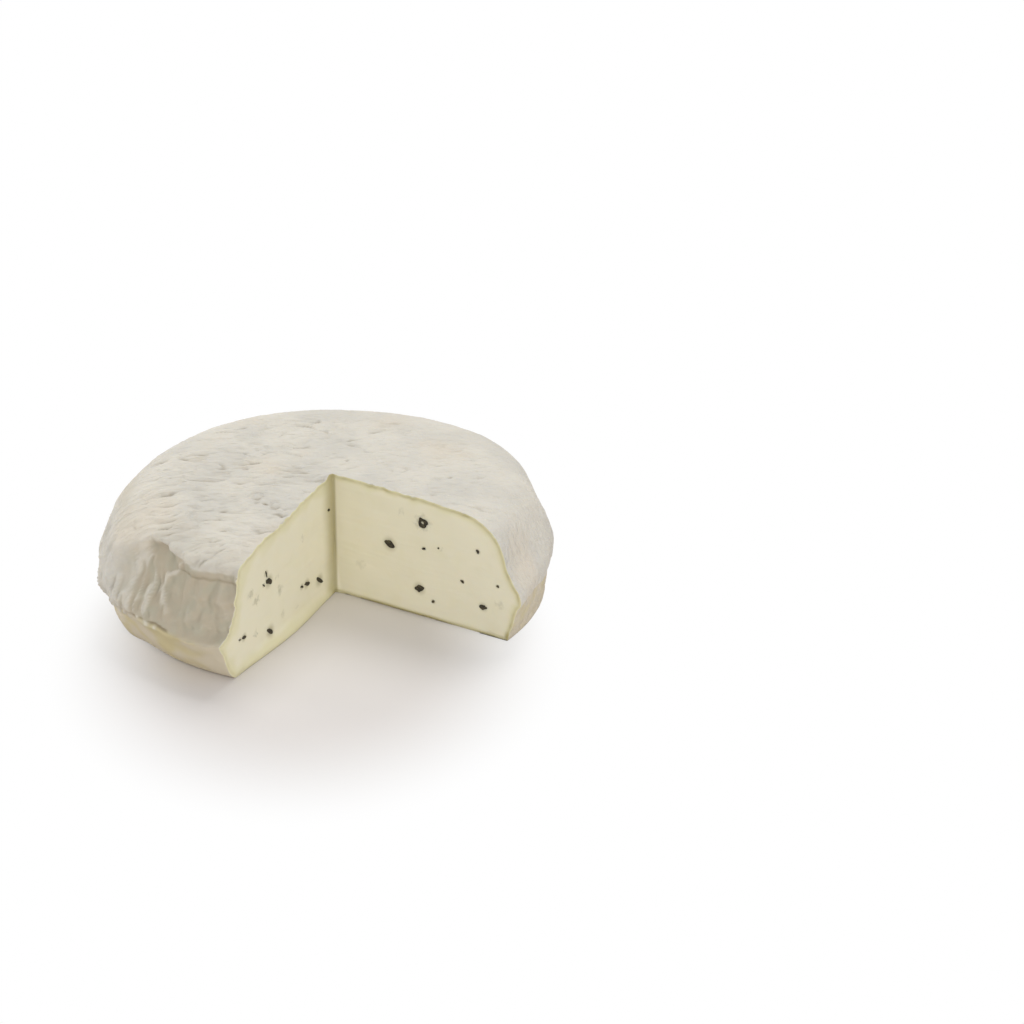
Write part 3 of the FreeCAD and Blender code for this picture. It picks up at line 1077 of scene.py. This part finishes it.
def buildFlecks(wheelTree):
    bm = bmesh.new()
    draw = random.Random(flecks["seed"])
    for name, bearing in cutFaces:
        for fleck in flecks[name]:
            addFleck(bm, wheelTree, bearing, *fleck, draw.random() * flecks["seedSpread"])
    for fleck in flecks["hollow"]:
        addFleck(bm, wheelTree, *fleck, draw.random() * flecks["seedSpread"], dip=flecks["dip"])
    bmesh.ops.recalc_face_normals(bm, faces=bm.faces)
    for face in bm.faces:
        face.smooth = True
    return asPiece(bm, "truffleFlecks")


def truffleMaterial():
    material, tree, output, place = newMaterial("black truffle")
    base = mottle(tree, place, colour(flecks["dark"]), flecks["light"], *flecks["lightPatch"])
    bump = addGrain(tree, place, *flecks["grain"])
    look = {"Base_Color": base, "Normal": bump.outputs[0], "Roughness": flecks["roughness"]}
    body = addNode(tree, "ShaderNodeBsdfPrincipled", **look)
    tree.links.new(body.outputs[0], output.inputs["Surface"])
    return material


# ---- floor, light and camera

studio = {
    "floor": "e2ddda",
    "floorHalf": 20.0,  # metres
    "floorBelow": 0.05,  # mm under the cheese
    "floorRoughness": 0.6,
    "shadeAt": (0.012, -0.032, 0.0),  # the floor keeps its own grey round here,
    "shadeTurn": -58,  # in an oval that runs this way
    "shadeStretch": (1.25, 1.0, 1.0),
    "whiteFrom": (0.029, 0.071),  # and further out it is seen as white
    "sky": 0.56,
    # name, place, what it points at, width in metres, watts
    "lamps": (
        ("overhead", (-0.15, 0.5, 0.75), (0, 0, 0), 0.5, 3.1),
        ("front", (0.75, -0.65, 0.4), (0, 0, 0.01), 0.6, 3.6),
        ("left", (-0.88, -0.12, 0.1), (0, 0, 0.01), 0.4, 2.9),
    ),
    "target": (0.01687, 0.06643, 0.0),
    "camera": (0.4731, -0.69891, 0.45399),
    "lens": 122.414,
    "sensor": 36,
}


def buildFloor():
    bm = bmesh.new()
    bmesh.ops.create_grid(bm, x_segments=1, y_segments=1, size=studio["floorHalf"])
    bmesh.ops.translate(bm, vec=(0, 0, -studio["floorBelow"] * mm), verts=bm.verts)
    floor = asPiece(bm, "floor")
    material, tree, output, place = newMaterial("pale floor")
    grey = colour(studio["floor"])
    matt = addNode(tree, "ShaderNodeBsdfPrincipled", Base_Color=grey, Roughness=studio["floorRoughness"])
    oval = stretched(tree, place, studio["shadeAt"], studio["shadeTurn"], studio["shadeStretch"])
    outside = remap(tree, distance(tree, oval), *studio["whiteFrom"])
    light = addNode(tree, "ShaderNodeLightPath")
    seen = light.outputs["Is Camera Ray"]
    for ray in ("Is Glossy Ray", "Is Transmission Ray"):
        seen = compute(tree, "MAXIMUM", seen, light.outputs[ray]).outputs[0]
    white = addNode(tree, "ShaderNodeEmission", Color=(1, 1, 1, 1), Strength=1.0)
    both = addNode(tree, "ShaderNodeMixShader")
    share = compute(tree, "MULTIPLY", outside, seen)
    for socket, node in zip(both.inputs, (share, matt, white)):
        tree.links.new(node.outputs[0], socket)
    tree.links.new(both.outputs[0], output.inputs["Surface"])
    floor.data.materials.append(material)


def aimed(place, target):
    return (Vector(target) - Vector(place)).to_track_quat("-Z", "Y").to_euler()


def addSoftbox(name, place, target, size, power):
    lamp = bpy.data.lights.new(name, "AREA")
    lamp.shape = "DISK"
    lamp.size = size
    lamp.energy = power
    softbox = bpy.data.objects.new(name, lamp)
    bpy.context.scene.collection.objects.link(softbox)
    softbox.location = place
    softbox.rotation_euler = aimed(place, target)


def lightStudio():
    world = bpy.data.worlds.new("studio")
    bpy.context.scene.world = world
    world.use_nodes = True
    back = world.node_tree.nodes["Background"]
    back.inputs[0].default_value = (1, 1, 1, 1)
    back.inputs[1].default_value = studio["sky"]
    for lamp in studio["lamps"]:
        addSoftbox(*lamp)


def placeCamera():
    lens = bpy.data.cameras.new("camera")
    lens.lens = studio["lens"]
    lens.sensor_width = studio["sensor"]
    camera = bpy.data.objects.new("camera", lens)
    bpy.context.scene.collection.objects.link(camera)
    camera.location = studio["camera"]
    camera.rotation_euler = aimed(studio["camera"], studio["target"])
    bpy.context.scene.camera = camera
    bpy.context.scene.view_settings.view_transform = "Standard"


placeCamera()
lightStudio()
buildFloor()

cheese = buildWheel()
cheese.data.materials.append(rindMaterial())
cheese.data.materials.append(pasteMaterial())
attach(cheese, "root")
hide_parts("cheese")

wheelMesh = bmesh.new()
wheelMesh.from_mesh(cheese.data)
wheelTree = BVHTree.FromBMesh(wheelMesh)
wheelMesh.free()
truffle = buildFlecks(wheelTree)
truffle.data.materials.append(truffleMaterial())
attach(truffle, "root")
print("flecks:", len(truffle.data.polygons), "faces")
